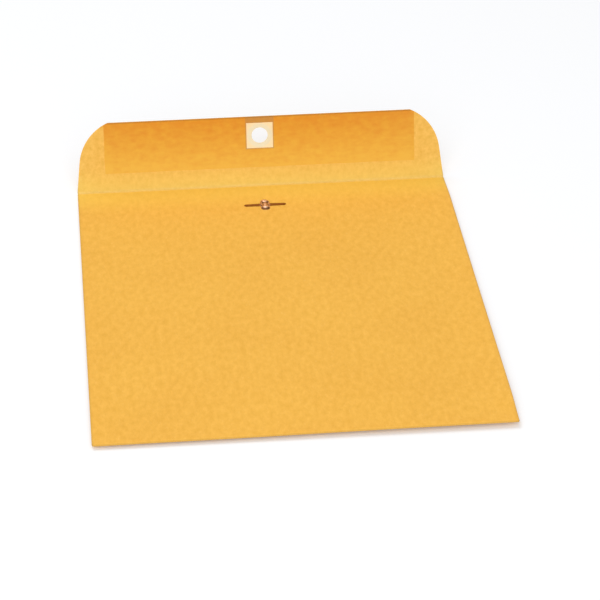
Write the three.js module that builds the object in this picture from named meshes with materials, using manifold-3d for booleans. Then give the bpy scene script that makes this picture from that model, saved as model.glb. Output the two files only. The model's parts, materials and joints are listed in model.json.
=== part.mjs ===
// Open-end clasp envelope in kraft paper, lying on its address side with the seal flap standing up.
// Millimetres, +Z up. The origin is the middle of the body's underside. +Y runs towards the flap.
import * as THREE from 'three';
import { mergeVertices } from 'three/addons/utils/BufferGeometryUtils.js';
import Module from 'manifold-3d';

const wasm = await Module();
wasm.setup();

// Body of the envelope, a 9 by 12 inch catalogue size
const bodyWidth = 228.6;
const bodyHeight = 304.8;
const paperThickness = 0.16;

// Side seams: tabs of the front panel are folded in, and the back panel is glued on them
const pocketSlack = 0.2;
const sideTabWidth = 18;
const sideTabEndSlant = 6;
const sideTabEndClearance = 1;
const glueThickness = 0.06;
const glueWidth = 11;
const glueSideMargin = 3;
const glueEndMargin = 4;
const backPanelInset = 0.5;
const throatDrop = 2;

// Seal flap, curved a little towards the clasp. Each corner is an arc that runs on from the tapered
// side and meets the flap's edge at an angle.
const flapSideTaper = 6.5;
const flapCornerRadius = 32;
const flapCornerAngle = 25;
const flapCurl = 20;
const flapStandAngle = 68;
const creaseGap = 0.3;
const closedFlapClearance = 0.3;

// Seal gum and reinforcing patch on the inner face of the flap
const filmGap = 0.03;
const gumThickness = 0.06;
const gumWidth = 193;
const gumStartFromCrease = 10.7;
const gumEdgeMargin = 0.4;
const patchSize = 16.4;
const patchThickness = 0.15;
const patchClearance = 0.3;
const patchToFlapEdge = 4.3;
const holeDiameter = 10;
const holePastClasp = 2;

// Clasp of tinned sheet steel. The hole is a little farther from the crease, so that the flap's arc
// brings it down over the prongs.
const claspDistance = 29;
const claspMetal = 0.25;
const claspBaseWidth = 20;
const claspBaseHeight = 12;
const claspBaseCorner = 3;
const claspSlitClearance = 0.3;
const hubWidth = 5.6;
const hubLength = 13.4;
const hubHeight = 0.55;
const hubRounding = 0.18;
const waistWidth = 2.6;
const waistHeight = 1.2;
const stemWidth = 1.8;
const stemLength = 2.6;
const prongTipToTip = 25.6;
const prongRootWidth = 3.2;
const prongTipWidth = 2.4;
const prongMetal = 0.3;
const prongKnuckleRadius = 0.6;
const prongClearance = 0.3;
const prongLift = 0.05;

// Facets of the round forms
const foldFacets = 8;
const curlFacets = 10;
const cornerFacets = 12;
const holeFacets = 32;
const knuckleFacets = 16;

// Levels above the surface that the envelope lies on
const frontTop = paperThickness;
const tabBottom = frontTop + pocketSlack;
const tabTop = tabBottom + paperThickness;
const backBottom = tabTop + glueThickness;
const backTop = backBottom + paperThickness;

// The flap turns about a line so high that it closes just above the back panel
const creaseHeight = (backTop + closedFlapClearance + paperThickness) / 2;
const holeDistance = claspDistance + holePastClasp;
const flapDepth = holeDistance + patchSize / 2 + patchToFlapEdge;

// Round folds at the sides and at the bottom
const sideFoldRadius = tabTop / 2;
const bottomFoldRadius = backTop / 2;
const sideFoldX = bodyWidth / 2 - sideFoldRadius;
const bottomFoldY = -bodyHeight / 2 + bottomFoldRadius;
const creaseY = bodyHeight / 2;
const throatY = creaseY - throatDrop;
const tabBottomY = bottomFoldY + sideTabEndClearance;

const kraft = new THREE.MeshStandardMaterial({ color: 0xf4b64e, roughness: 0.85, metalness: 0 });
const innerKraft = new THREE.MeshStandardMaterial({ color: 0xe9a846, roughness: 0.9, metalness: 0 });
const driedGum = new THREE.MeshStandardMaterial({ color: 0xf0a038, roughness: 0.35, metalness: 0 });
const seamGlue = new THREE.MeshStandardMaterial({ color: 0xe6d3a2, roughness: 0.6, metalness: 0 });
const patchPaper = new THREE.MeshStandardMaterial({ color: 0xfde4b4, roughness: 0.8, metalness: 0 });
const tinplate = new THREE.MeshStandardMaterial({ color: 0xc9c4bd, roughness: 0.3, metalness: 1 });

const envelope = new THREE.Group();

function addPiece(parent, name, geometry, material) {
  const mesh = new THREE.Mesh(geometry, material);
  mesh.name = name;
  parent.add(mesh);
  return mesh;
}

function solidOf(geometry) {
  const bare = geometry.clone();
  bare.deleteAttribute('normal');
  bare.deleteAttribute('uv');
  const welded = mergeVertices(bare);
  return new wasm.Manifold(new wasm.Mesh({
    numProp: 3,
    vertProperties: Float32Array.from(welded.attributes.position.array),
    triVerts: Uint32Array.from(welded.index.array),
  }));
}

function geometryOf(solid) {
  const mesh = solid.getMesh();
  const geometry = new THREE.BufferGeometry();
  geometry.setAttribute('position', new THREE.BufferAttribute(mesh.vertProperties, 3));
  geometry.setIndex(new THREE.BufferAttribute(mesh.triVerts, 1));
  geometry.computeVertexNormals();
  return geometry;
}

// Flat plate with the outline of a shape, from one level to another
function plate(shape, bottom, top) {
  const geometry = new THREE.ExtrudeGeometry(shape, { depth: top - bottom, bevelEnabled: false });
  return geometry.translate(0, 0, bottom);
}

function rectangle(left, right, low, high) {
  return new THREE.Shape([
    new THREE.Vector2(left, low),
    new THREE.Vector2(right, low),
    new THREE.Vector2(right, high),
    new THREE.Vector2(left, high),
  ]);
}

// Half ring of a folded sheet, from the first angle on through half a turn
function foldSection(outerRadius, firstAngle) {
  const innerRadius = outerRadius - paperThickness;
  const points = [];
  for (let i = 0; i <= foldFacets; i += 1) {
    const angle = firstAngle + Math.PI * i / foldFacets;
    points.push(new THREE.Vector2(outerRadius * Math.cos(angle), outerRadius * Math.sin(angle)));
  }
  for (let i = foldFacets; i >= 0; i -= 1) {
    const angle = firstAngle + Math.PI * i / foldFacets;
    points.push(new THREE.Vector2(innerRadius * Math.cos(angle), innerRadius * Math.sin(angle)));
  }
  return new THREE.Shape(points);
}

// Turns a section drawn in Y and Z, extruded along Z, so that it runs along X
const alongX = new THREE.Matrix4().makeBasis(
  new THREE.Vector3(0, 1, 0),
  new THREE.Vector3(0, 0, 1),
  new THREE.Vector3(1, 0, 0),
);

// Cutter for the slit in the back panel that the clasp's stem comes up through
function claspSlit() {
  const halfWidth = stemWidth / 2 + claspSlitClearance;
  const halfLength = stemLength / 2 + claspSlitClearance;
  const slit = rectangle(-halfWidth, halfWidth, -halfLength, halfLength);
  return plate(slit, tabBottom, backTop + paperThickness)
    .translate(0, creaseY - claspDistance, 0);
}

function addPanels() {
  const front = rectangle(-sideFoldX, sideFoldX, bottomFoldY, creaseY);
  addPiece(envelope, 'front_panel', plate(front, 0, frontTop), kraft);

  const backHalfWidth = bodyWidth / 2 - backPanelInset;
  const back = rectangle(-backHalfWidth, backHalfWidth, bottomFoldY, throatY);
  const backSolid = solidOf(plate(back, backBottom, backTop)).subtract(solidOf(claspSlit()));
  addPiece(envelope, 'back_panel', geometryOf(backSolid), kraft);

  const bottomFold = new THREE.ExtrudeGeometry(foldSection(bottomFoldRadius, Math.PI / 2), {
    depth: 2 * backHalfWidth,
    bevelEnabled: false,
  });
  bottomFold.applyMatrix4(alongX);
  bottomFold.translate(-backHalfWidth, bottomFoldY, bottomFoldRadius);
  addPiece(envelope, 'bottom_fold', bottomFold, kraft);
}

// One side seam: side is 1 on the right and -1 on the left
function addSideSeam(label, side) {
  const foldLength = throatY - tabBottomY;
  const sideFold = new THREE.ExtrudeGeometry(foldSection(sideFoldRadius, -Math.PI / 2 * side), {
    depth: foldLength,
    bevelEnabled: false,
  });
  sideFold.rotateX(Math.PI / 2);
  sideFold.translate(side * sideFoldX, throatY, sideFoldRadius);
  addPiece(envelope, `${label}_side_fold`, sideFold, kraft);

  const outer = side * sideFoldX;
  const inner = side * (sideFoldX - sideTabWidth);
  const tab = new THREE.Shape([
    new THREE.Vector2(outer, tabBottomY),
    new THREE.Vector2(outer, throatY),
    new THREE.Vector2(inner, throatY - sideTabEndSlant),
    new THREE.Vector2(inner, tabBottomY + sideTabEndSlant),
  ]);
  addPiece(envelope, `${label}_side_tab`, plate(tab, tabBottom, tabTop), innerKraft);

  const glueOuter = sideFoldX - glueSideMargin;
  const glueInner = glueOuter - glueWidth;
  const glueLow = tabBottomY + sideTabEndSlant + glueEndMargin;
  const glueHigh = throatY - sideTabEndSlant - glueEndMargin;
  const left = Math.min(side * glueOuter, side * glueInner);
  const right = Math.max(side * glueOuter, side * glueInner);
  const glue = rectangle(left, right, glueLow, glueHigh);
  addPiece(envelope, `${label}_seam_glue`, plate(glue, tabTop, backBottom), seamGlue);
}

// The flap's outlines are drawn flat, with the crease at 0, and its curl draws them in a little
const curlAngle = THREE.MathUtils.degToRad(flapCurl);
const curlRadius = flapDepth / curlAngle;

function drawnIn(points) {
  return new THREE.Shape(points.map(
    (point) => new THREE.Vector2(point.x, curlRadius * Math.sin(point.y / curlRadius)),
  ));
}

function flapOutline(inset) {
  const taper = THREE.MathUtils.degToRad(flapSideTaper);
  const meeting = THREE.MathUtils.degToRad(flapCornerAngle);
  const centreY = flapDepth - flapCornerRadius * Math.cos(meeting);
  const sideRun = centreY * Math.tan(taper);
  const centreX = bodyWidth / 2 - sideRun - flapCornerRadius / Math.cos(taper);
  const radius = flapCornerRadius - inset;
  const lastAngle = Math.asin((flapDepth - inset - centreY) / radius);
  const right = [new THREE.Vector2(centreX + radius / Math.cos(taper) + sideRun, 0)];
  for (let i = 0; i <= cornerFacets; i += 1) {
    const angle = taper + (lastAngle - taper) * i / cornerFacets;
    right.push(new THREE.Vector2(
      centreX + radius * Math.cos(angle),
      centreY + radius * Math.sin(angle),
    ));
  }
  const left = right.map((point) => new THREE.Vector2(-point.x, point.y)).reverse();
  return [...right, ...left];
}

function holeOutline() {
  const points = [];
  for (let i = 0; i < holeFacets; i += 1) {
    const angle = 2 * Math.PI * i / holeFacets;
    points.push(new THREE.Vector2(
      holeDiameter / 2 * Math.cos(angle),
      holeDistance + holeDiameter / 2 * Math.sin(angle),
    ));
  }
  return points;
}

// Sheet of the flap's curl, between two heights above the middle of the paper
function curledSheet(bottom, top) {
  const points = [];
  for (let i = 0; i <= curlFacets; i += 1) {
    const angle = curlAngle * i / curlFacets;
    points.push(new THREE.Vector2(
      (curlRadius - bottom) * Math.sin(angle),
      curlRadius - (curlRadius - bottom) * Math.cos(angle),
    ));
  }
  for (let i = curlFacets; i >= 0; i -= 1) {
    const angle = curlAngle * i / curlFacets;
    points.push(new THREE.Vector2(
      (curlRadius - top) * Math.sin(angle),
      curlRadius - (curlRadius - top) * Math.cos(angle),
    ));
  }
  const sheet = new THREE.ExtrudeGeometry(new THREE.Shape(points), {
    depth: bodyWidth,
    bevelEnabled: false,
  });
  sheet.applyMatrix4(alongX);
  return solidOf(sheet.translate(-bodyWidth / 2, 0, 0));
}

function cutter(points) {
  return solidOf(plate(drawnIn(points), -flapDepth, flapDepth));
}

function addFlap() {
  const swing = new THREE.Group();
  swing.position.set(0, creaseY, creaseHeight);
  swing.rotation.x = THREE.MathUtils.degToRad(flapStandAngle);
  envelope.add(swing);

  // At its flattest the flap's outer face touches what the envelope lies on
  const leaf = new THREE.Group();
  leaf.position.set(0, creaseGap, paperThickness / 2 - creaseHeight);
  swing.add(leaf);

  const hole = cutter(holeOutline());
  const paper = curledSheet(-paperThickness / 2, paperThickness / 2)
    .intersect(cutter(flapOutline(0)))
    .subtract(hole);
  addPiece(leaf, 'seal_flap', geometryOf(paper), kraft);

  const filmBottom = paperThickness / 2 + filmGap;
  const windowHalf = patchSize / 2 + patchClearance;
  const patchWindow = rectangle(
    -windowHalf,
    windowHalf,
    holeDistance - windowHalf,
    holeDistance + windowHalf,
  ).getPoints();
  const gumField = rectangle(-gumWidth / 2, gumWidth / 2, gumStartFromCrease, flapDepth).getPoints();
  const gum = curledSheet(filmBottom, filmBottom + gumThickness)
    .intersect(cutter(flapOutline(gumEdgeMargin)))
    .intersect(cutter(gumField))
    .subtract(cutter(patchWindow));
  addPiece(leaf, 'gum_strip', geometryOf(gum), driedGum);

  const patchField = rectangle(
    -patchSize / 2,
    patchSize / 2,
    holeDistance - patchSize / 2,
    holeDistance + patchSize / 2,
  ).getPoints();
  const patch = curledSheet(filmBottom, filmBottom + patchThickness)
    .intersect(cutter(patchField))
    .subtract(hole);
  addPiece(leaf, 'flap_patch', geometryOf(patch), patchPaper);
}

// Place of the pin line that each prong bends about, measured from the middle of the clasp
const knuckleX = waistWidth / 2 + prongClearance + prongKnuckleRadius;
const knuckleZ = backTop + prongLift + prongKnuckleRadius;

function roundedRectangle(width, height, corner) {
  const x = width / 2;
  const y = height / 2;
  const shape = new THREE.Shape();
  shape.moveTo(-x + corner, -y);
  shape.lineTo(x - corner, -y);
  shape.absarc(x - corner, -y + corner, corner, -Math.PI / 2, 0);
  shape.lineTo(x, y - corner);
  shape.absarc(x - corner, y - corner, corner, 0, Math.PI / 2);
  shape.lineTo(-x + corner, y);
  shape.absarc(-x + corner, y - corner, corner, Math.PI / 2, Math.PI);
  shape.lineTo(-x, -y + corner);
  shape.absarc(-x + corner, -y + corner, corner, Math.PI, 3 * Math.PI / 2);
  return shape;
}

// Two round ears joined by a waist that leaves room for the prongs' knuckles
function hubOutline() {
  const earRadius = hubWidth / 2;
  const earCentre = hubLength / 2 - earRadius;
  const waist = waistWidth / 2;
  const notch = prongRootWidth / 2 + prongClearance;
  const shape = new THREE.Shape();
  shape.moveTo(waist, -notch);
  shape.lineTo(waist, notch);
  shape.lineTo(earRadius, notch);
  shape.absarc(0, earCentre, earRadius, 0, Math.PI);
  shape.lineTo(-earRadius, notch);
  shape.lineTo(-waist, notch);
  shape.lineTo(-waist, -notch);
  shape.lineTo(-earRadius, -notch);
  shape.absarc(0, -earCentre, earRadius, Math.PI, 2 * Math.PI);
  shape.lineTo(earRadius, -notch);
  return shape;
}

function hubSolid() {
  const ears = new THREE.ExtrudeGeometry(hubOutline(), {
    depth: hubHeight - 2 * hubRounding,
    bevelThickness: hubRounding,
    bevelSize: hubRounding,
    bevelOffset: -hubRounding,
    bevelSegments: 2,
    curveSegments: cornerFacets,
  });
  ears.translate(0, 0, backTop + hubRounding);
  const waistRadius = waistWidth / 2;
  const waistLength = prongRootWidth + 2 * prongClearance;
  const saddle = new THREE.CylinderGeometry(waistRadius, waistRadius, waistLength, knuckleFacets);
  saddle.scale(1, 1, (waistHeight - hubHeight / 2) / waistRadius);
  saddle.translate(0, 0, backTop + hubHeight / 2);
  const stem = new THREE.BoxGeometry(stemWidth, stemLength, backTop + hubHeight / 2 - backBottom);
  stem.translate(0, 0, (backTop + hubHeight / 2 + backBottom) / 2);
  const aboveBack = plate(
    rectangle(-hubWidth, hubWidth, -hubLength, hubLength),
    backTop,
    backTop + waistHeight,
  );
  return solidOf(saddle)
    .intersect(solidOf(aboveBack))
    .add(solidOf(ears))
    .add(solidOf(stem));
}

function prongOutline() {
  const root = prongRootWidth / 2;
  const tip = prongTipWidth / 2;
  const tipCentre = prongTipToTip / 2 - knuckleX - tip;
  const shape = new THREE.Shape();
  shape.moveTo(0, -root);
  shape.lineTo(tipCentre, -tip);
  shape.absarc(tipCentre, 0, tip, -Math.PI / 2, Math.PI / 2);
  shape.lineTo(0, root);
  return shape;
}

function prongSolid() {
  const knuckle = new THREE.CylinderGeometry(
    prongKnuckleRadius,
    prongKnuckleRadius,
    prongRootWidth,
    knuckleFacets,
  );
  const blade = plate(prongOutline(), -prongKnuckleRadius, prongMetal - prongKnuckleRadius);
  return solidOf(knuckle).add(solidOf(blade));
}

function addClasp() {
  const clasp = new THREE.Group();
  clasp.position.set(0, creaseY - claspDistance, 0);
  envelope.add(clasp);

  const base = roundedRectangle(claspBaseWidth, claspBaseHeight, claspBaseCorner);
  addPiece(clasp, 'clasp_base', plate(base, backBottom - claspMetal, backBottom), tinplate);
  addPiece(clasp, 'clasp_hub', geometryOf(hubSolid()), tinplate);

  const prongGeometry = geometryOf(prongSolid());
  for (const [label, side] of [['left', -1], ['right', 1]]) {
    const prong = addPiece(clasp, `clasp_prong_${label}`, prongGeometry, tinplate);
    prong.position.set(side * knuckleX, 0, knuckleZ);
    prong.rotation.z = side < 0 ? Math.PI : 0;
  }
}

addPanels();
addSideSeam('left', -1);
addSideSeam('right', 1);
addFlap();
addClasp();

export default envelope;
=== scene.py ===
import json
import math

import bmesh
import bpy
from mathutils import Matrix, Vector, noise


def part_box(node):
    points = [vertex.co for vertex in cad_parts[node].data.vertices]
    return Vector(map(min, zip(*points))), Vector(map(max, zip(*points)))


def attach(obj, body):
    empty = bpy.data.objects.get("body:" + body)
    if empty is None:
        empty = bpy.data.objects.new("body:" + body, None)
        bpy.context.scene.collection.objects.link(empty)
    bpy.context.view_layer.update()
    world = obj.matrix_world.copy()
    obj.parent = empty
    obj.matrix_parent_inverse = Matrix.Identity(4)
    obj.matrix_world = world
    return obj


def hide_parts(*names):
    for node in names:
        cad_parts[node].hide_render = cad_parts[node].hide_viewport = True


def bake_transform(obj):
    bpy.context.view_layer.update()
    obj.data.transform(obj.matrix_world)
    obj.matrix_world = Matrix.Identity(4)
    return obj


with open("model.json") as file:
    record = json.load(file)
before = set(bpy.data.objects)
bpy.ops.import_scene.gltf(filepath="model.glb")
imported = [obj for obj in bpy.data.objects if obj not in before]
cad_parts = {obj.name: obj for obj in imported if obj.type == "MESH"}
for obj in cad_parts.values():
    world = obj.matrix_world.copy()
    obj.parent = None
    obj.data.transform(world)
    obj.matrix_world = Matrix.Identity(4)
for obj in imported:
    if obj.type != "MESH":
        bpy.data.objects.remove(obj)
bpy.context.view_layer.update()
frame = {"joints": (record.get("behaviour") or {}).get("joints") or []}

mm = 0.001


# Camera
# A long lens low over the envelope's bottom edge, as in the photograph. Its place and lens were
# fitted to the body's corners, the flap's edge, the hole and the clasp, in a square picture.
picture_pixels = 600
focal_pixels = 2914.0
film_width = 36.0
camera_azimuth = math.radians(-5.036)
camera_elevation = math.radians(28.590)
camera_roll = math.radians(-0.447)
camera_distance = 1.6845
camera_target = Vector((0.01029, 0.00104, 0.0))

flat_back = math.cos(camera_elevation)
camera_back = Vector((
    math.sin(camera_azimuth) * flat_back,
    -math.cos(camera_azimuth) * flat_back,
    math.sin(camera_elevation),
))
level_right = Vector((math.cos(camera_azimuth), math.sin(camera_azimuth), 0.0))
camera_turn = Matrix((level_right, camera_back.cross(level_right), camera_back)).transposed()

camera = bpy.data.objects.new("camera", bpy.data.cameras.new("camera"))
camera.data.sensor_width = film_width
camera.data.lens = focal_pixels / picture_pixels * film_width
camera.data.clip_start = 0.05
camera.data.clip_end = 20.0
camera.rotation_mode = "QUATERNION"
camera.rotation_quaternion = (camera_turn @ Matrix.Rotation(camera_roll, 3, "Z")).to_quaternion()
camera.location = camera_target + camera_distance * camera_back
bpy.context.scene.collection.objects.link(camera)
bpy.context.scene.camera = camera


# Studio
# A sheet of matt white paper under two broad softboxes, one high at the back on the left and a fill
# at the front, with plain light from all round. Together they light the envelope so that a colour
# comes out about as it is written.
floor_size = 6.0
floor_drop = 0.08 * mm
floor_white = "#f3f4f6"
floor_glow = 0.13
room_light = 0.65
room_seen = 1.0
key_level = 0.28
key_size = 1.6
key_place = Vector((-0.55, 0.75, 2.2))
fill_level = 0.28
fill_size = 2.0
fill_place = Vector((-0.2, -2.0, 1.35))


def linear(code):
    """The values that a shader takes, from an sRGB hex colour."""
    channels = [int(code[i:i + 2], 16) / 255 for i in (1, 3, 5)]
    return [c / 12.92 if c <= 0.04045 else ((c + 0.055) / 1.055) ** 2.4 for c in channels] + [1.0]


def add_node(tree, kind, sockets=None, **settings):
    """Adds a node with its settings, and gives each named socket its value or its link."""
    node = tree.nodes.new(kind)
    for key, value in settings.items():
        setattr(node, key, value)
    for key, value in (sockets or {}).items():
        if isinstance(value, bpy.types.NodeSocket):
            tree.links.new(value, node.inputs[key])
        else:
            node.inputs[key].default_value = value
    return node


def seen_directly(tree):
    """1 for what the camera sees itself, in a reflection or through glass, and 0 for other light."""
    path = add_node(tree, "ShaderNodeLightPath")
    mirrored = add_node(tree, "ShaderNodeMath", {
        0: path.outputs["Is Glossy Ray"],
        1: path.outputs["Is Transmission Ray"],
    }, operation="MAXIMUM")
    seen = add_node(tree, "ShaderNodeMath", {
        0: path.outputs["Is Camera Ray"],
        1: mirrored.outputs[0],
    }, operation="MAXIMUM")
    return seen.outputs[0]


def backdrop_paper():
    """Seamless white paper: matt, and lifted to white where the camera sees it unshaded."""
    material = bpy.data.materials.new("seamless_white_paper")
    material.use_nodes = True
    tree = material.node_tree
    tree.nodes.clear()
    matt = add_node(tree, "ShaderNodeBsdfDiffuse", {"Color": linear(floor_white)})
    glow = add_node(tree, "ShaderNodeMath", {0: seen_directly(tree), 1: floor_glow}, operation="MULTIPLY")
    light = add_node(tree, "ShaderNodeEmission", {"Strength": glow.outputs[0]})
    both = add_node(tree, "ShaderNodeAddShader", {0: matt.outputs[0], 1: light.outputs[0]})
    add_node(tree, "ShaderNodeOutputMaterial", {"Surface": both.outputs[0]})
    return material


floor_mesh = bmesh.new()
bmesh.ops.create_grid(floor_mesh, x_segments=8, y_segments=8, size=floor_size / 2)
bmesh.ops.translate(floor_mesh, verts=floor_mesh.verts, vec=(0, 0, -floor_drop))
floor = bpy.data.objects.new("floor", bpy.data.meshes.new("floor"))
floor_mesh.to_mesh(floor.data)
floor_mesh.free()
floor.data.materials.append(backdrop_paper())
bpy.context.scene.collection.objects.link(floor)

world = bpy.data.worlds.new("studio_room")
bpy.context.scene.world = world
world.use_nodes = True
world.node_tree.nodes.clear()
room = add_node(world.node_tree, "ShaderNodeMapRange", {
    "Value": seen_directly(world.node_tree),
    "To Min": room_light,
    "To Max": room_seen,
})
white = add_node(world.node_tree, "ShaderNodeBackground", {"Strength": room.outputs[0]})
add_node(world.node_tree, "ShaderNodeOutputWorld", {"Surface": white.outputs[0]})

for name, level, size, place in (
    ("key_softbox", key_level, key_size, key_place),
    ("fill_softbox", fill_level, fill_size, fill_place),
):
    softbox = bpy.data.objects.new(name, bpy.data.lights.new(name, "AREA"))
    softbox.data.size = size
    softbox.data.energy = level * math.pi ** 2 * place.length ** 3 / place.z
    softbox.location = place
    softbox.rotation_mode = "QUATERNION"
    softbox.rotation_quaternion = (-place).to_track_quat("-Z", "Y")
    bpy.context.scene.collection.objects.link(softbox)
bpy.context.scene.view_settings.view_transform = "Standard"


# Kraft blank
# One sheet of golden kraft, die-cut with its flap, side tabs and back panel, then creased, folded
# and glued. It is cut flat here too, and folded point by point, so the sheet runs on round each fold.
front_low, front_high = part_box("front_panel")
tab_low, tab_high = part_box("left_side_tab")
back_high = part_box("back_panel")[1]
side_low, side_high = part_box("left_side_fold")
bottom_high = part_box("bottom_fold")[1]
base_low, base_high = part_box("clasp_base")
crease = Vector(frame["joints"][0]["pos_m"])

paper = front_high.z - front_low.z
paper_middle = paper / 2
side_line = front_high.x
bottom_line = front_low.y
throat_y = back_high.y
back_half = back_high.x
body_half = -side_low.x
side_radius = (side_high.z - paper) / 2
bottom_radius = (bottom_high.z - paper) / 2
crease_radius = crease.z - paper_middle
side_arc = math.pi * side_radius
bottom_arc = math.pi * bottom_radius

flap_stand = math.radians(68)
flap_curl = math.radians(20)
flap_depth = 43.5 * mm
flap_gap = 0.3 * mm
flap_taper = math.radians(6.5)
flap_corner = 32 * mm
flap_corner_angle = math.radians(25)
hole_from_root = 31 * mm
hole_radius = 5 * mm
hole_window = 6 * mm
tab_width = tab_high.x - tab_low.x
tab_slant = 6 * mm
flap_root = crease.y + crease_radius * flap_stand + flap_gap
curl_radius = flap_depth / flap_curl
back_foot = bottom_line - bottom_arc
back_end = back_foot - (throat_y - bottom_line)

# The body isn't quite flat: it rises from the table towards its bottom edge, its glued seams warp up,
# most on the right, and air holds the back panel off the front one. It lies flat where the closed
# flap's edge comes down.
curl_start = 105 * mm
left_lift = 1.4 * mm
right_lift = 2.6 * mm
lift_growth = 1.5
wave_height = 0.5 * mm
wave_width = 90 * mm
wave_length = 120 * mm
left_curl = 0.7 * mm
right_curl = 2.0 * mm
curl_inner = side_line - tab_width
curl_top_run = 35 * mm
curl_foot_run = 30 * mm
pillow_height = 1.1 * mm
pillow_half = 96 * mm
pillow_top_run = 90 * mm
pillow_foot_run = 60 * mm
dent_height = 0.12 * mm
dent_width = 35 * mm
dent_length = 45 * mm
tab_sink = 0.07 * mm
tab_margin = 5 * mm
foot_margin = 6 * mm
base_margin = 2.5 * mm


def ease(value):
    """Smooth step from 0 to 1."""
    value = min(max(value, 0.0), 1.0)
    return value * value * (3 - 2 * value)


def spaced(low, high, count):
    """Evenly spaced values from low to high, both ends with them."""
    return [low + (high - low) * i / count for i in range(count + 1)]


def cut_sheet(outline, columns, rows):
    """Flat sheet with an outline, cut into cells so that it can bend."""
    sheet = bmesh.new()
    sheet.faces.new([sheet.verts.new((x, y, 0)) for x, y in outline])
    for axis, places in enumerate((columns, rows)):
        across = Vector((1, 0, 0)) if axis == 0 else Vector((0, 1, 0))
        for place in places:
            bmesh.ops.bisect_plane(
                sheet,
                geom=sheet.verts[:] + sheet.edges[:] + sheet.faces[:],
                dist=1e-7,
                plane_co=across * place,
                plane_no=across,
            )
    return sheet


def corner_arc(centre, radius, first, last, count):
    """Points on an arc about a centre."""
    return [
        (centre[0] + radius * math.cos(a), centre[1] + radius * math.sin(a))
        for a in spaced(first, last, count)
    ]


def flap_outline(inset):
    """The flap from its root to its edge, flat: tapered sides, and corners whose arcs meet the edge
    at an angle."""
    up = flap_depth - flap_corner * math.cos(flap_corner_angle)
    centre_x = body_half - up * math.tan(flap_taper) - flap_corner / math.cos(flap_taper)
    radius = flap_corner - inset
    last = math.asin((flap_depth - inset - up) / radius)
    right = [(centre_x + radius / math.cos(flap_taper) + up * math.tan(flap_taper), flap_root)]
    right += corner_arc((centre_x, flap_root + up), radius, flap_taper, last, 20)
    return right + [(-x, y) for x, y in reversed(right)]


def punch(sheet, centre, window, radius, rings=2):
    """Punches a round hole: clears a square window, then grows its rim inwards to a circle."""
    def reach(point):
        return max(abs(point.x - centre[0]), abs(point.y - centre[1]))

    waste = [face for face in sheet.faces if reach(face.calc_center_median()) < window]
    bmesh.ops.delete(sheet, geom=waste, context="FACES")
    rim = [
        edge for edge in sheet.edges
        if edge.is_boundary and max(reach(vert.co) for vert in edge.verts) < window * 1.001
    ]
    middle = Vector((centre[0], centre[1], 0))
    for rings_left in range(rings, 0, -1):
        grown = bmesh.ops.extrude_edge_only(sheet, edges=rim)["geom"]
        inner = {item for item in grown if isinstance(item, bmesh.types.BMVert)}
        rim = [
            item for item in grown
            if isinstance(item, bmesh.types.BMEdge) and inner.issuperset(item.verts)
        ]
        for vert in inner:
            out = vert.co - middle
            vert.co = middle + out * (1 + (radius / out.length - 1) / rings_left)


def thicken(sheet, low, high, edge_material=0):
    """Gives a flat sheet its thickness, between two heights, and keeps its flat map. Its upper face
    and its cut edges may have materials of their own."""
    bmesh.ops.translate(sheet, verts=sheet.verts, vec=(0, 0, low))
    top = bmesh.ops.extrude_face_region(sheet, geom=sheet.faces[:])["geom"]
    raised = [item for item in top if isinstance(item, bmesh.types.BMVert)]
    bmesh.ops.translate(sheet, verts=raised, vec=(0, 0, high - low))
    bmesh.ops.recalc_face_normals(sheet, faces=sheet.faces)
    if edge_material:
        for face in sheet.faces:
            face.material_index = edge_material if abs(face.normal.z) < 0.5 else int(face.normal.z > 0)
    flat_map = sheet.loops.layers.uv.new("flat")
    for face in sheet.faces:
        for loop in face.loops:
            loop[flat_map].uv = loop.vert.co.xy


def bend(distance, height, radius, angle):
    """How far along and how high a point comes to lie past a fold, from its distance past the line."""
    turned = min(max(distance / radius, 0.0), angle)
    straight = distance - turned * radius
    along = (radius - height) * math.sin(turned) + straight * math.cos(turned)
    up = radius - (radius - height) * math.cos(turned) + straight * math.sin(turned)
    return along, up


def lumpiness(x, y, width, length, seed):
    """Random unevenness from about -1 to 1, in lumps of a width and a length."""
    return noise.noise(Vector((x / width, y / length, seed)))


def body_lift(x, y):
    """How far the whole body stands off the table."""
    down = max((curl_start - y) / (curl_start - bottom_line), 0.0)
    across = min(max((x + body_half) / (2 * body_half), 0.0), 1.0)
    wave = 0.5 + 0.5 * lumpiness(x, y, wave_width, wave_length, seed=3)
    lift = (left_lift + (right_lift - left_lift) * across) * down ** lift_growth
    seam = ease((abs(x) - curl_inner) / (body_half - curl_inner))
    ends = ease((crease.y - y) / curl_top_run) * ease((y - bottom_line) / curl_foot_run)
    curl = (right_curl if x > 0 else left_curl) * seam * ends
    return lift + curl + wave_height * wave * ease(down * 3)


def pillow(x, y):
    """How far air holds the back panel off the front one, less what it sinks between tabs and clasp."""
    inside = 1 - ease((abs(x) - pillow_half * 0.25) / (pillow_half * 0.75))
    lengthways = ease((curl_start - y) / pillow_top_run) * ease((y - bottom_line) / pillow_foot_run)
    base = max(base_low.x - x, x - base_high.x, base_low.y - y, y - base_high.y)
    between_tabs = ease((pillow_half - abs(x)) / tab_margin) * ease((y - bottom_line) / foot_margin)
    hollow = between_tabs * ease(base / base_margin)
    dents = dent_height * lumpiness(x, y, dent_width, dent_length, seed=9)
    return (pillow_height + dents) * inside * lengthways - tab_sink * hollow


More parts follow.
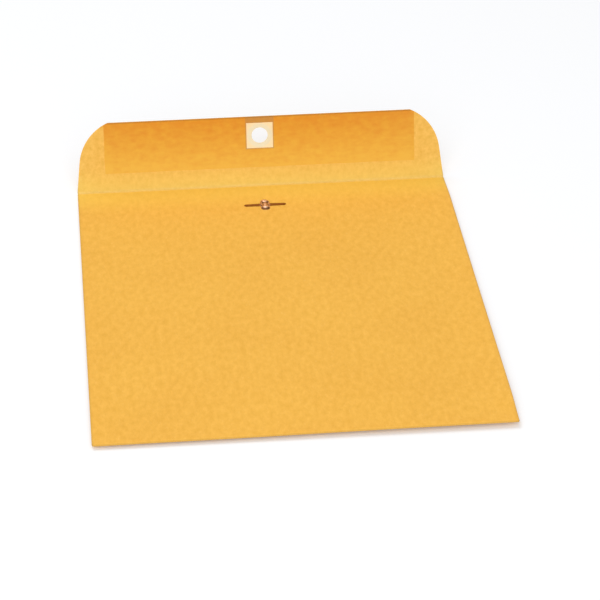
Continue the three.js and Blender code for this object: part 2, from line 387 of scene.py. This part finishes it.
def folded(u, v, height):
    """Where a point of the flat blank lies on the envelope. Height is above the paper's middle."""
    if v > crease.y:
        root = flap_root - crease.y
        along, up = bend(v - flap_root, height, curl_radius, flap_curl)
        along, up = bend(root + along, up, crease_radius, flap_stand)
        return Vector((u, crease.y + along, paper_middle + up))
    if v < bottom_line:
        along, up = bend(bottom_line - v, height, bottom_radius, math.pi)
        x, y, z = u, bottom_line - along, paper_middle + up
        if bottom_line - v > bottom_arc:
            z += pillow(x, y)
    elif abs(u) > side_line:
        along, up = bend(abs(u) - side_line, height, side_radius, math.pi)
        x, y, z = math.copysign(side_line + along, u), v, paper_middle + up
    else:
        x, y, z = u, v, paper_middle + height
    return Vector((x, y, z + body_lift(x, y)))


def fold_up(sheet):
    """Folds a flat, thickened sheet of the blank into place."""
    for vert in sheet.verts:
        vert.co = folded(*vert.co)


sharp_edge = math.radians(40)


def finished(mesh, name, *materials):
    """Puts a mesh in the scene as a named object, smooth but for its sharp edges."""
    for face in mesh.faces:
        face.smooth = True
    for edge in mesh.edges:
        edge.smooth = edge.calc_face_angle(0) < sharp_edge
    piece = bpy.data.objects.new(name, bpy.data.meshes.new(name))
    mesh.to_mesh(piece.data)
    mesh.free()
    for material in materials:
        piece.data.materials.append(material)
    bpy.context.scene.collection.objects.link(piece)
    return piece


# Painted light and shade on the kraft: the body below the mouth and the flap's foot lightened, painted
# highlights along the mouth's edge and the crease, and painted shade with some handling grime on the outer
# folds
mouth_painted_light_reach = 34 * mm
foot_painted_light_reach = 17 * mm
crease_highlight_reach = 2.2 * mm
mouth_highlight_reach = 0.9 * mm
bottom_fold_shade_reach = 1.4 * mm
side_fold_shade_reach = 1.6 * mm
mouth_painted_light = "#f8da58"
foot_painted_light = "#f8de70"
painted_edge_highlight = "#ffe0a4"
fold_shade_and_grime = "#b0924f"


def golden_kraft(name, dark, light, lengthways):
    """Uncoated kraft dyed golden: matt, cloudy at a few millimetres, with fine fibres in its face. Its
    outer side is deepest in colour, and calendering has drawn its clouds out lengthways. Its inner
    side is paler, partly as painted light for the brighter light on the standing flap, and its cut
    edge palest."""
    material = bpy.data.materials.new(name)
    material.use_nodes = True
    tree = material.node_tree
    skin = tree.nodes["Principled BSDF"]
    flat = add_node(tree, "ShaderNodeUVMap", uv_map="flat").outputs[0]

    # The sheet's formation: clouds of fibre about 3 mm across, and a slow drift over a hand's width
    formed = add_node(tree, "ShaderNodeMapping", {"Vector": flat, "Scale": (1.0, 1 / lengthways, 1.0)})
    clouds = add_node(tree, "ShaderNodeTexNoise", {
        "Vector": formed.outputs[0], "Scale": 1 / (3.2 * mm), "Detail": 3.0, "Roughness": 0.6,
    }, noise_dimensions="2D")
    formation = add_node(tree, "ShaderNodeMapRange", {
        "Value": clouds.outputs[0], "From Min": 0.21, "From Max": 0.79,
    })
    drift = add_node(tree, "ShaderNodeTexNoise", {
        "Vector": flat, "Scale": 1 / (55 * mm), "Detail": 1.0,
    }, noise_dimensions="2D")
    # Fibres lie a little along the machine direction, 2 mm long, and drawn 0.6 mm wide so that they
    # show. The fine grain under them is drawn 0.5 mm coarse for the same reason.
    lying = add_node(tree, "ShaderNodeMapping", {"Vector": flat, "Scale": (1.0, 0.3, 1.0)})
    fibres = add_node(tree, "ShaderNodeTexNoise", {
        "Vector": lying.outputs[0], "Scale": 1 / (0.6 * mm), "Detail": 2.0, "Distortion": 0.8,
    }, noise_dimensions="2D")
    grain = add_node(tree, "ShaderNodeTexNoise", {
        "Vector": flat, "Scale": 1 / (0.5 * mm), "Detail": 2.0,
    }, noise_dimensions="2D")

    clouded = add_node(tree, "ShaderNodeMix", {
        "Factor": formation.outputs[0], "A": linear(dark), "B": linear(light),
    }, data_type="RGBA")
    drifted = add_node(tree, "ShaderNodeMix", {
        "Factor": drift.outputs[0], "A": linear("#faf6f0"), "B": linear("#ffffff"),
    }, data_type="RGBA")
    toned = add_node(tree, "ShaderNodeMix", {
        "Factor": 1.0, "A": clouded.outputs[2], "B": drifted.outputs[2],
    }, data_type="RGBA", blend_type="MULTIPLY")
    dark_fibre = add_node(tree, "ShaderNodeMapRange", {
        "Value": fibres.outputs[0], "From Min": 0.62, "From Max": 0.72, "To Min": 0.0, "To Max": 0.12,
    })
    pale_fibre = add_node(tree, "ShaderNodeMapRange", {
        "Value": fibres.outputs[0], "From Min": 0.38, "From Max": 0.28, "To Min": 0.0, "To Max": 0.12,
    })
    darker = add_node(tree, "ShaderNodeMix", {
        "Factor": dark_fibre.outputs[0], "A": toned.outputs[2], "B": linear("#d08a2c"),
    }, data_type="RGBA")
    paler = add_node(tree, "ShaderNodeMix", {
        "Factor": pale_fibre.outputs[0], "A": darker.outputs[2], "B": linear("#ffd98c"),
    }, data_type="RGBA")

    # Painted light lightens the body below the mouth, where the flap shades it, and the flap's foot,
    # which is lit more. Broken pale lines along the mouth's edge and the crease are painted highlights,
    # which also lift the shade in the step between them. The outer folds are darkened by painted shade
    # where they turn from the light, and by some grime from handling.
    place = add_node(tree, "ShaderNodeSeparateXYZ", {0: flat})
    off_centre = add_node(tree, "ShaderNodeMath", {0: place.outputs[0]}, operation="ABSOLUTE")
    patchy = add_node(tree, "ShaderNodeTexNoise", {
        "Vector": flat, "Scale": 1 / (1.6 * mm), "Detail": 3.0,
    }, noise_dimensions="2D")
    broken = add_node(tree, "ShaderNodeMapRange", {
        "Value": patchy.outputs[0], "From Min": 0.35, "From Max": 0.6, "To Min": 0.35, "To Max": 1.0,
    })
    faced = paler
    for across, line, reach, amount, tone, breaks in (
        (place.outputs[1], back_end, mouth_painted_light_reach, 0.38, mouth_painted_light, False),
        (place.outputs[1], crease.y, foot_painted_light_reach, 0.4, foot_painted_light, False),
        (place.outputs[1], crease.y, crease_highlight_reach, 0.24, painted_edge_highlight, True),
        (place.outputs[1], back_end, mouth_highlight_reach, 0.45, painted_edge_highlight, True),
        (place.outputs[1], bottom_line - bottom_arc / 2, bottom_fold_shade_reach, 0.4, fold_shade_and_grime, False),
        (off_centre.outputs[0], side_line + side_arc / 2, side_fold_shade_reach, 0.3, fold_shade_and_grime, False),
    ):
        away = add_node(tree, "ShaderNodeMath", {0: across, 1: line}, operation="SUBTRACT")
        gap = add_node(tree, "ShaderNodeMath", {0: away.outputs[0]}, operation="ABSOLUTE")
        tone_mask = add_node(tree, "ShaderNodeMapRange", {
            "Value": gap.outputs[0], "From Min": reach, "From Max": 0.0, "To Min": 0.0, "To Max": amount,
        }, interpolation_type="SMOOTHSTEP")
        if breaks:
            tone_mask = add_node(tree, "ShaderNodeMath", {
                0: tone_mask.outputs[0], 1: broken.outputs[0],
            }, operation="MULTIPLY")
        faced = add_node(tree, "ShaderNodeMix", {
            "Factor": tone_mask.outputs[0], "A": faced.outputs[2], "B": linear(tone),
        }, data_type="RGBA")
    tree.links.new(faced.outputs[2], skin.inputs["Base Color"])

    roughness = add_node(tree, "ShaderNodeMapRange", {
        "Value": clouds.outputs[0], "To Min": 0.7, "To Max": 0.86,
    })
    tree.links.new(roughness.outputs[0], skin.inputs["Roughness"])
    skin.inputs["Specular IOR Level"].default_value = 0.3
    skin.inputs["IOR"].default_value = 1.5
    tooth = add_node(tree, "ShaderNodeMath", {
        0: fibres.outputs[0], 1: grain.outputs[0],
    }, operation="ADD")
    relief = add_node(tree, "ShaderNodeBump", {
        "Height": tooth.outputs[0], "Strength": 0.3, "Distance": 0.025 * mm,
    })
    tree.links.new(relief.outputs[0], skin.inputs["Normal"])
    return material


body_columns = spaced(-side_line, -hole_window, 24) + spaced(-hole_window, hole_window, 12)
body_columns += spaced(hole_window, side_line, 24)
hole_v = flap_root + hole_from_root
fold_columns = spaced(side_line, side_line + side_arc, 8)
tab_columns = fold_columns + spaced(fold_columns[-1], fold_columns[-1] + tab_width, 4)
crease_rows = spaced(crease.y, flap_root - flap_gap, 10)
flap_rows = spaced(flap_root, hole_v - hole_window, 7)
flap_rows += spaced(hole_v - hole_window, hole_v + hole_window, 12)
flap_rows += spaced(hole_v + hole_window, flap_root + flap_depth, 3)
front_rows = spaced(bottom_line, tab_low.y, 1) + spaced(tab_low.y, throat_y, 64) + [crease.y]
fold_rows = spaced(bottom_line - bottom_arc, bottom_line, 8)
back_rows = spaced(back_end, back_foot, 64)

front_corners = [
    (-side_line, bottom_line), (side_line, bottom_line),
    (side_line, throat_y), (-side_line, throat_y),
]
back_corners = [
    (-back_half, back_end), (back_half, back_end),
    (back_half, bottom_line), (-back_half, bottom_line),
]
tab_corners = [
    (side_line, tab_low.y), (fold_columns[-1], tab_low.y),
    (fold_columns[-1] + tab_width, tab_low.y + tab_slant),
    (fold_columns[-1] + tab_width, throat_y - tab_slant),
    (fold_columns[-1], throat_y), (side_line, throat_y),
]
flap_corners = [(side_line, throat_y)] + flap_outline(inset=0.0) + [(-side_line, throat_y)]

blank = bmesh.new()
for corners, columns, rows in (
    (front_corners, body_columns, front_rows),
    (back_corners, body_columns, back_rows + fold_rows),
    (tab_corners, tab_columns, front_rows),
    ([(-x, y) for x, y in reversed(tab_corners)], [-x for x in tab_columns], front_rows),
    (flap_corners, body_columns, crease_rows + flap_rows),
):
    leaf = cut_sheet(corners, columns, rows)
    leaf_mesh = bpy.data.meshes.new("leaf")
    leaf.to_mesh(leaf_mesh)
    leaf.free()
    blank.from_mesh(leaf_mesh)
    bpy.data.meshes.remove(leaf_mesh)
bmesh.ops.remove_doubles(blank, verts=blank.verts, dist=0.002 * mm)
punch(blank, (0.0, hole_v), hole_window, hole_radius)
thicken(blank, -paper_middle, paper_middle, edge_material=2)
fold_up(blank)
# The inner side's paler tones are partly painted light, for the brighter light on the standing flap
kraft_blank = finished(
    blank,
    "kraft_blank",
    golden_kraft("golden_kraft_outer_side", "#f0b240", "#fcc253", lengthways=2.0),
    golden_kraft("golden_kraft_inner_side", "#ebb94f", "#fbcd6a", lengthways=1.0),
    golden_kraft("golden_kraft_cut_edge", "#eabf78", "#f8d79a", lengthways=1.0),
)
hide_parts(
    "front_panel", "back_panel", "bottom_fold", "left_side_fold", "right_side_fold",
    "left_side_tab", "right_side_tab", "seal_flap",
)
folded(0, flap_root, 0)
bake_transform(kraft_blank)


# Seam glue
# Two strips of dried adhesive, rolled onto the side tabs before the back panel is pressed down on
# them. They lie shut in the seams, and their ragged ends can be seen only from the open throat.
glue_wobble = 0.5 * mm
glue_lump_width = 4 * mm
glue_lump_length = 6 * mm


def dried_glue():
    """Starch adhesive: a thin pale amber film, half glossy, and thicker where the roller left beads."""
    material = bpy.data.materials.new("dried_starch_adhesive")
    material.use_nodes = True
    tree = material.node_tree
    film = tree.nodes["Principled BSDF"]
    flat = add_node(tree, "ShaderNodeUVMap", uv_map="flat").outputs[0]
    drawn = add_node(tree, "ShaderNodeMapping", {"Vector": flat, "Scale": (1.0, 0.15, 1.0)})
    beads = add_node(tree, "ShaderNodeTexNoise", {
        "Vector": drawn.outputs[0], "Scale": 1 / (0.8 * mm), "Detail": 3.0,
    }, noise_dimensions="2D")
    tint = add_node(tree, "ShaderNodeMix", {
        "Factor": beads.outputs[0], "A": linear("#d9bd83"), "B": linear("#f1e0b4"),
    }, data_type="RGBA")
    tree.links.new(tint.outputs[2], film.inputs["Base Color"])
    gloss = add_node(tree, "ShaderNodeMapRange", {
        "Value": beads.outputs[0], "To Min": 0.3, "To Max": 0.6,
    })
    tree.links.new(gloss.outputs[0], film.inputs["Roughness"])
    ridges = add_node(tree, "ShaderNodeBump", {
        "Height": beads.outputs[0], "Strength": 0.6, "Distance": 0.04 * mm,
    })
    tree.links.new(ridges.outputs[0], film.inputs["Normal"])
    return material


adhesive = dried_glue()
for label in ("left", "right"):
    glue_low, glue_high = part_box(f"{label}_seam_glue")
    glue_middle = (glue_low.x + glue_high.x) / 2
    glue_half = (glue_high.x - glue_low.x) / 2
    glue_corners = [
        (glue_low.x, glue_low.y), (glue_high.x, glue_low.y),
        (glue_high.x, glue_high.y), (glue_low.x, glue_high.y),
    ]
    glue = cut_sheet(
        glue_corners,
        spaced(glue_low.x, glue_high.x, 8),
        spaced(glue_low.y, glue_high.y, 120),
    )
    thicken(glue, glue_low.z, glue_high.z)
    for vert in glue.verts:
        x, y, z = vert.co
        ragged = lumpiness(x, y, glue_lump_width, glue_lump_length, seed=5) - 0.5
        x += glue_wobble * ragged * (x - glue_middle) / glue_half
        vert.co = (x, y, z + body_lift(x, y))
    glue_film = finished(glue, f"{label}_glue_film", adhesive)
    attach(glue_film, "pocket")
    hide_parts(f"{label}_seam_glue")


# Seal gum
# A broad strip of remoistenable gum, coated hot on the flap's inner face and dried. It stops short of
# the flap's sides and root, and leaves a window for the patch.
gum_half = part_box("gum_strip")[1].x
gum_start = flap_root + 10.7 * mm
gum_edge_margin = 0.15 * mm
film_clearance = 0.01 * mm
gum_bottom = paper_middle + film_clearance
gum_top = paper_middle + 0.09 * mm
gum_wobble = 0.25 * mm
gum_lump = 12 * mm
patch_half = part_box("flap_patch")[1].x
patch_window = patch_half + 0.05 * mm
# Painted shade in the gum: the width of the shadow line round the patch, and where the shade along the flap's
# edge begins
patch_border_width = 1.1 * mm
flap_edge = flap_root + flap_depth
edge_shade_start = flap_edge - 1.6 * mm


def dried_gum():
    """Dextrin gum on kraft: deeper and more orange than the bare paper, satin, blotched where it soaked
    in, faintly streaked by the coating roll, and thickest towards the flap's edge. A painted shadow
    rings the patch, and painted shade darkens a line along the flap's cut edge."""
    material = bpy.data.materials.new("dried_dextrin_gum")
    material.use_nodes = True
    tree = material.node_tree
    film = tree.nodes["Principled BSDF"]
    flat = add_node(tree, "ShaderNodeUVMap", uv_map="flat").outputs[0]
    place = add_node(tree, "ShaderNodeSeparateXYZ", {0: flat})

    drawn = add_node(tree, "ShaderNodeMapping", {"Vector": flat, "Scale": (0.45, 1.0, 1.0)})
    streaks = add_node(tree, "ShaderNodeTexNoise", {
        "Vector": drawn.outputs[0], "Scale": 1 / (2.6 * mm), "Detail": 2.0,
    }, noise_dimensions="2D")
    blotches = add_node(tree, "ShaderNodeTexNoise", {
        "Vector": flat, "Scale": 1 / (5.5 * mm), "Detail": 4.0, "Roughness": 0.6,
    }, noise_dimensions="2D")
    coat = add_node(tree, "ShaderNodeMapRange", {
        "Value": place.outputs[1], "From Min": gum_start, "From Max": flap_edge,
    })
    uneven = add_node(tree, "ShaderNodeMath", {
        0: streaks.outputs[0], 1: blotches.outputs[0],
    }, operation="ADD")
    unevenness = add_node(tree, "ShaderNodeMapRange", {
        "Value": uneven.outputs[0], "From Min": 0.6, "From Max": 1.4, "To Min": -0.28, "To Max": 0.28,
    })
    depth = add_node(tree, "ShaderNodeMath", {
        0: coat.outputs[0], 1: unevenness.outputs[0],
    }, operation="ADD", use_clamp=True)
    coated = add_node(tree, "ShaderNodeMix", {
        "Factor": depth.outputs[0], "A": linear("#eeb939"), "B": linear("#e29725"),
    }, data_type="RGBA")
    # A painted shadow darkens a line all round the patch's edge, and the gum dries brown in the strip
    # between the patch and the flap's edge
    centred = add_node(tree, "ShaderNodeMapping", {"Vector": flat, "Location": (0, -hole_v, 0)})
    off = add_node(tree, "ShaderNodeVectorMath", {0: centred.outputs[0]}, operation="ABSOLUTE")
    sides = add_node(tree, "ShaderNodeSeparateXYZ", {0: off.outputs[0]})
    square = add_node(tree, "ShaderNodeMath", {
        0: sides.outputs[0], 1: sides.outputs[1],
    }, operation="MAXIMUM")
    patch_edge_shadow = add_node(tree, "ShaderNodeMapRange", {
        "Value": square.outputs[0], "From Min": patch_window + patch_border_width, "From Max": patch_window,
        "To Min": 0.0, "To Max": 0.55,
    }, interpolation_type="SMOOTHSTEP")
    beside = add_node(tree, "ShaderNodeMapRange", {
        "Value": sides.outputs[0], "From Min": patch_window + patch_border_width, "From Max": patch_window,
        "To Min": 0.0, "To Max": 0.42,
    }, interpolation_type="SMOOTHSTEP")
    above = add_node(tree, "ShaderNodeMath", {
        0: place.outputs[1], 1: hole_v + patch_half,
    }, operation="GREATER_THAN")
    strip = add_node(tree, "ShaderNodeMath", {
        0: beside.outputs[0], 1: above.outputs[0],
    }, operation="MULTIPLY")
    patch_shadow_and_strip = add_node(tree, "ShaderNodeMath", {
        0: patch_edge_shadow.outputs[0], 1: strip.outputs[0],
    }, operation="MAXIMUM")
    ridged = add_node(tree, "ShaderNodeMix", {
        "Factor": patch_shadow_and_strip.outputs[0], "A": coated.outputs[2], "B": linear("#a5885c"),
    }, data_type="RGBA")
    # Painted shade darkens a line along the flap's cut edge
    edge_shade = add_node(tree, "ShaderNodeMapRange", {
        "Value": place.outputs[1], "From Min": edge_shade_start, "From Max": flap_edge,
        "To Min": 0.0, "To Max": 0.6,
    }, interpolation_type="SMOOTHSTEP")
    edge_shaded = add_node(tree, "ShaderNodeMix", {
        "Factor": edge_shade.outputs[0], "A": ridged.outputs[2], "B": linear("#96601f"),
    }, data_type="RGBA")
    tree.links.new(edge_shaded.outputs[2], film.inputs["Base Color"])
    gloss = add_node(tree, "ShaderNodeMapRange", {
        "Value": blotches.outputs[0], "To Min": 0.42, "To Max": 0.6,
    })
    tree.links.new(gloss.outputs[0], film.inputs["Roughness"])
    film.inputs["IOR"].default_value = 1.47
    ripple = add_node(tree, "ShaderNodeBump", {
        "Height": uneven.outputs[0], "Strength": 0.4, "Distance": 0.05 * mm,
    })
    tree.links.new(ripple.outputs[0], film.inputs["Normal"])
    return material


def outside_gum(point):
    """True in the bare margins beside the gum and below it, and in the window for the patch."""
    in_window = abs(point.x) < patch_window and abs(point.y - hole_v) < patch_window
    return abs(point.x) > gum_half or point.y < gum_start or in_window


gum_columns = spaced(-gum_half, -patch_window, 56) + spaced(-patch_window, patch_window, 10)
gum_columns += spaced(patch_window, gum_half, 56)
gum_rows = spaced(gum_start, hole_v - patch_window, 8)
gum_rows += spaced(hole_v - patch_window, hole_v + patch_window, 10)
gum_rows += spaced(hole_v + patch_window, flap_edge, 3)
gum = cut_sheet(flap_outline(gum_edge_margin), gum_columns, gum_rows)
margins = [face for face in gum.faces if outside_gum(face.calc_center_median())]
bmesh.ops.delete(gum, geom=margins, context="FACES")
for vert in gum.verts:
    wobble = gum_wobble * lumpiness(vert.co.x, vert.co.y, gum_lump, gum_lump, seed=2)
    at_foot = vert.co.y < gum_start + 0.01 * mm
    at_side = abs(vert.co.x) > gum_half - 0.01 * mm
    if at_foot:
        vert.co.y += wobble
    if at_side:
        vert.co.x += wobble
thicken(gum, gum_bottom, gum_top)
fold_up(gum)
gum_film = finished(gum, "gum_film", dried_gum())
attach(gum_film, "flap")
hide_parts("gum_strip")


# Flap patch
# A square of pale manila glued round the hole, so that the clasp's prongs don't tear the flap. The
# punch that cuts the hole presses a shallow ring into it.
patch_bottom = paper_middle + film_clearance
patch_top = paper_middle + 0.18 * mm
patch_cells = 14
patch_hole_cells = 10
patch_rings = 7
ring_middle = 5.75 * mm
ring_half = 0.45 * mm
ring_depth = 0.05 * mm
pressed_reach = 8.6 * mm
pressed_fade = 1.6 * mm


def manila():
    """Bleached manila paper: cream, smooth and matt, whiter where the punch has pressed it."""
    material = bpy.data.materials.new("cream_manila_paper")
    material.use_nodes = True
    tree = material.node_tree
    skin = tree.nodes["Principled BSDF"]
    flat = add_node(tree, "ShaderNodeUVMap", uv_map="flat").outputs[0]
    centred = add_node(tree, "ShaderNodeMapping", {"Vector": flat, "Location": (0, -hole_v, 0)})
    radius = add_node(tree, "ShaderNodeVectorMath", {0: centred.outputs[0]}, operation="LENGTH")
    pressed = add_node(tree, "ShaderNodeMapRange", {
        "Value": radius.outputs["Value"], "From Min": pressed_reach, "From Max": pressed_reach - pressed_fade,
    }, interpolation_type="SMOOTHSTEP")
    grain = add_node(tree, "ShaderNodeTexNoise", {
        "Vector": flat, "Scale": 1 / (0.6 * mm), "Detail": 3.0,
    }, noise_dimensions="2D")
    cream = add_node(tree, "ShaderNodeMix", {
        "Factor": grain.outputs[0], "A": linear("#fde7b6"), "B": linear("#fff0cb"),
    }, data_type="RGBA")
    toned = add_node(tree, "ShaderNodeMix", {
        "Factor": pressed.outputs[0], "A": cream.outputs[2], "B": linear("#f1ecd0"),
    }, data_type="RGBA")
    tree.links.new(toned.outputs[2], skin.inputs["Base Color"])
    roughness = add_node(tree, "ShaderNodeMapRange", {
        "Value": grain.outputs[0], "To Min": 0.6, "To Max": 0.75,
    })
    tree.links.new(roughness.outputs[0], skin.inputs["Roughness"])
    tooth = add_node(tree, "ShaderNodeBump", {
        "Height": grain.outputs[0], "Strength": 0.4, "Distance": 0.02 * mm,
    })
    tree.links.new(tooth.outputs[0], skin.inputs["Normal"])
    return material


patch = cut_sheet(
    [
        (-patch_half, hole_v - patch_half), (patch_half, hole_v - patch_half),
        (patch_half, hole_v + patch_half), (-patch_half, hole_v + patch_half),
    ],
    spaced(-patch_half, patch_half, patch_cells),
    spaced(hole_v - patch_half, hole_v + patch_half, patch_cells),
)
punch(patch, (0.0, hole_v), patch_half * patch_hole_cells / patch_cells, hole_radius, patch_rings)
thicken(patch, patch_bottom, patch_top)
for vert in patch.verts:
    if vert.co.z > (patch_bottom + patch_top) / 2:
        out = math.hypot(vert.co.x, vert.co.y - hole_v)
        vert.co.z -= ring_depth * (1 - ease(abs(out - ring_middle) / ring_half))
fold_up(patch)
flap_patch = finished(patch, "hole_patch", manila())
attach(flap_patch, "flap")
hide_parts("flap_patch")


# Clasp base
# The clasp's foot, a flat plate of tinned steel inside the pocket, which holds the clasp to the back
# panel. It is the CAD's own plate with its finish.
clasp_centre = Vector((0, (base_low.y + base_high.y) / 2, back_high.z))


def tinplate(name, bright, dull, patina_and_shade_colour):
    """Tinned sheet steel: bright and a little soft, with fine rolling scratches along Y and dull patches
    where it has been handled. Its colours are tinted warm pink, a painted reflection of the kraft round
    it. A vertex attribute darkens it towards a brown, for patina in its hollows and for painted shade
    and reflection."""
    material = bpy.data.materials.new(name)
    material.use_nodes = True
    tree = material.node_tree
    metal = tree.nodes["Principled BSDF"]
    metal.inputs["Metallic"].default_value = 1.0
    at = add_node(tree, "ShaderNodeTexCoord").outputs["Object"]
    drawn = add_node(tree, "ShaderNodeMapping", {"Vector": at, "Scale": (1.0, 0.05, 1.0)})
    scratches = add_node(tree, "ShaderNodeTexNoise", {
        "Vector": drawn.outputs[0], "Scale": 1 / (0.12 * mm), "Detail": 3.0,
    })
    patches = add_node(tree, "ShaderNodeTexNoise", {
        "Vector": at, "Scale": 1 / (1.4 * mm), "Detail": 3.0,
    })
    handled = add_node(tree, "ShaderNodeMix", {
        "Factor": patches.outputs[0], "A": linear(bright), "B": linear(dull),
    }, data_type="RGBA")
    tarnish_and_shade = add_node(tree, "ShaderNodeAttribute", attribute_name="tarnish_and_shade")
    browned = add_node(tree, "ShaderNodeMix", {
        "Factor": tarnish_and_shade.outputs["Fac"], "A": handled.outputs[2], "B": linear(patina_and_shade_colour),
    }, data_type="RGBA")
    tree.links.new(browned.outputs[2], metal.inputs["Base Color"])
    gloss = add_node(tree, "ShaderNodeMapRange", {
        "Value": patches.outputs[0], "To Min": 0.32, "To Max": 0.54,
    })
    tree.links.new(gloss.outputs[0], metal.inputs["Roughness"])
    fine = add_node(tree, "ShaderNodeBump", {
        "Height": scratches.outputs[0], "Strength": 0.25, "Distance": 0.01 * mm,
    })
    tree.links.new(fine.outputs[0], metal.inputs["Normal"])
    return material


# The tin's warm pink tones are a painted reflection of the kraft; its brown darkens the hub's grooves as
# patina and the ears' front flanks as painted shade
bright_tin = tinplate("bright_tinplate", "#efcdae", "#dba880", "#623402")
base_node = bpy.data.objects["clasp_base"]
for material_slot in base_node.material_slots:
    material_slot.material = bright_tin


# Clasp hub
# The middle of the clasp, stamped from the same sheet: two round ears with a domed boss and a rolled
# rim each, and an arched saddle between them, with room beside it for the prongs' rolled roots.
hub_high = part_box("clasp_hub")[1]
hub_half = hub_high.x
hub_metal = 0.25 * mm
ear_centre = hub_high.y - clasp_centre.y - hub_half
notch_half = 1.9 * mm
waist_half = 1.3 * mm
saddle_height = hub_high.z - clasp_centre.z
saddle_run = 1.2 * mm
arch_half = 1.04 * waist_half
boss_radius = 2.2 * mm
boss_height = 1.05 * mm
ear_height = 0.4 * mm
skirt_run = 0.22 * mm
rim_radius = 2.56 * mm
rim_half = 0.24 * mm
rim_height = 0.16 * mm
hub_edge = 0.1 * mm
hub_cell = 0.16 * mm
# Fade and strength of the hub's darkening: patina in the grooves, painted shade on the ears' front flanks
tarnish_fade = 0.3 * mm
groove_tarnish = 0.35
ear_darkening = 0.9


def stamped(x, y):
    """Height of the hub's upper face over the back panel, from the middle of the clasp."""
    out = math.hypot(x, abs(y) - ear_centre)
    boss = boss_height * math.sqrt(max(1 - (out / boss_radius) ** 2, 0.0))
    rim = rim_height * (1 - ease(abs(out - rim_radius) / rim_half))
    from_edge = hub_half - (out if abs(y) > ear_centre else abs(x))
    if abs(x) > waist_half:
        from_edge = min(from_edge, abs(y) - notch_half)
    skirt = ear_height * ease(from_edge / skirt_run)
    arch = math.sqrt(max(1 - (x / arch_half) ** 2, 0.0))
    saddle = saddle_height * arch * (1 - ease((abs(y) - notch_half) / saddle_run))
    return max(skirt + boss + rim, saddle, hub_edge)


def hub_darkening(x, y):
    """How dark the hub is painted: brown patina in the groove round each boss, and painted shade on
    the side of each ear towards the bottom edge, which faces away from the key light.
    """
    from_ear = y - math.copysign(ear_centre, y)
    out = math.hypot(x, from_ear)
    groove = 1 - ease(abs(out - boss_radius) / tarnish_fade)
    # Painted shade on each ear's flank towards the bottom edge
    flank = ease((out - 0.62 * boss_radius) / (0.3 * boss_radius))
    front = ease(0.45 - 0.9 * from_ear / max(out, 0.1 * mm))
    on_ear = ease((hub_half + 0.2 * mm - out) / tarnish_fade)
    return max(groove_tarnish * groove, flank * front) * on_ear


ear_arc = corner_arc((0, ear_centre), hub_half, 0, math.pi, 40)
hub_outline = [(waist_half, -notch_half), (waist_half, notch_half), (hub_half, notch_half)] + ear_arc
hub_outline += [(-hub_half, notch_half), (-waist_half, notch_half)]
hub_outline += [(-waist_half, -notch_half), (-hub_half, -notch_half)]
hub_outline += [(-x, -y) for x, y in ear_arc] + [(hub_half, -notch_half)]
hub_reach = ear_centre + hub_half
hub = cut_sheet(
    hub_outline,
    spaced(-hub_half, hub_half, round(2 * hub_half / hub_cell)),
    spaced(-hub_reach, hub_reach, round(2 * hub_reach / hub_cell)),
)
bmesh.ops.dissolve_degenerate(hub, dist=hub_cell / 6, edges=hub.edges)
thicken(hub, -hub_metal, 0.0)
hub_patina_and_shade = hub.verts.layers.float.new("tarnish_and_shade")
for vert in hub.verts:
    x, y, below = vert.co
    vert[hub_patina_and_shade] = ear_darkening * hub_darkening(x, y)
    vert.co = clasp_centre + Vector((x, y, max(stamped(x, y) + below, 0.0)))
clasp_hub = finished(hub, "stamped_hub", bright_tin)
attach(clasp_hub, "pocket")
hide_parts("clasp_hub")


# Prongs
# Two tapered blades of the same tinned steel with round tips. Each root is rolled round the line that
# it bends about, and painted less dark than the blade. A rib is pressed along each blade. The blades
# are painted dark brown, a painted reflection of the kraft and painted shade.
prong_metal = 0.3 * mm
prong_root_half = 1.6 * mm
prong_tip_half = 1.2 * mm
roll_radius = 0.45 * mm
roll_angle = math.radians(285)
roll_length = roll_radius * roll_angle
rib_height = 0.16 * mm
rib_half = 0.55 * mm
rib_run = 2 * mm
prong_bevel = 0.05 * mm
# How dark the prongs are painted, as painted reflection and shade: less at the rolled root, most along the
# blade
root_darkening = 0.35
blade_darkening = 0.95
paler_root_reach = 0.2 * mm
paler_root_fade = 1.2 * mm

# The prongs' dark brown is a painted reflection of the kraft and painted shade
tin_painted_dark = tinplate("tinplate_painted_dark", "#efcdae", "#dba880", "#884e02")
for joint in frame["joints"]:
    if not joint["name"].endswith("_prong_bend"):
        continue
    label = joint["name"].removesuffix("_prong_bend")
    pin = Vector(joint["pos_m"])
    turn = Matrix.Rotation(0 if pin.x > 0 else math.pi, 3, "Z")
    tip_low, tip_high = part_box(f"clasp_prong_{label}")
    tip = max(abs(tip_low.x), abs(tip_high.x)) - abs(pin.x)
    tip_centre = tip - prong_tip_half
    prong_outline = [(-roll_length, -prong_root_half), (0, -prong_root_half)]
    prong_outline += corner_arc((tip_centre, 0), prong_tip_half, -math.pi / 2, math.pi / 2, 16)
    prong_outline += [(0, prong_root_half), (-roll_length, prong_root_half)]
    prong = cut_sheet(
        prong_outline,
        spaced(-roll_length, 0, 22) + spaced(0, tip, 40),
        spaced(-prong_root_half, prong_root_half, 16),
    )
    thicken(prong, -prong_metal / 2, prong_metal / 2)
    rims = [edge for edge in prong.edges if edge.calc_face_angle(0) > math.radians(60)]
    bmesh.ops.bevel(
        prong, geom=rims, offset=prong_bevel, offset_type="OFFSET",
        segments=2, profile=0.5, affect="EDGES", material=-1,
    )
    prong_darkening = prong.verts.layers.float.new("tarnish_and_shade")
    for vert in prong.verts:
        along, across, height = vert.co
        on_blade = ease((along - paler_root_reach) / paler_root_fade)
        vert[prong_darkening] = root_darkening + (blade_darkening - root_darkening) * on_blade
        rib = rib_height * (1 - ease(abs(across) / rib_half))
        if along < 0:
            inward, up = bend(-along, height, roll_radius, roll_angle)
            along = -inward
        else:
            up = height + rib * ease(along / rib_run) * ease((tip_centre - along) / rib_run)
        vert.co = pin + turn @ Vector((along, across, up - roll_radius))
    prong_blade = finished(prong, f"{label}_prong_blade", tin_painted_dark)
    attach(prong_blade, f"{label}_prong")
    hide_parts(f"clasp_prong_{label}")
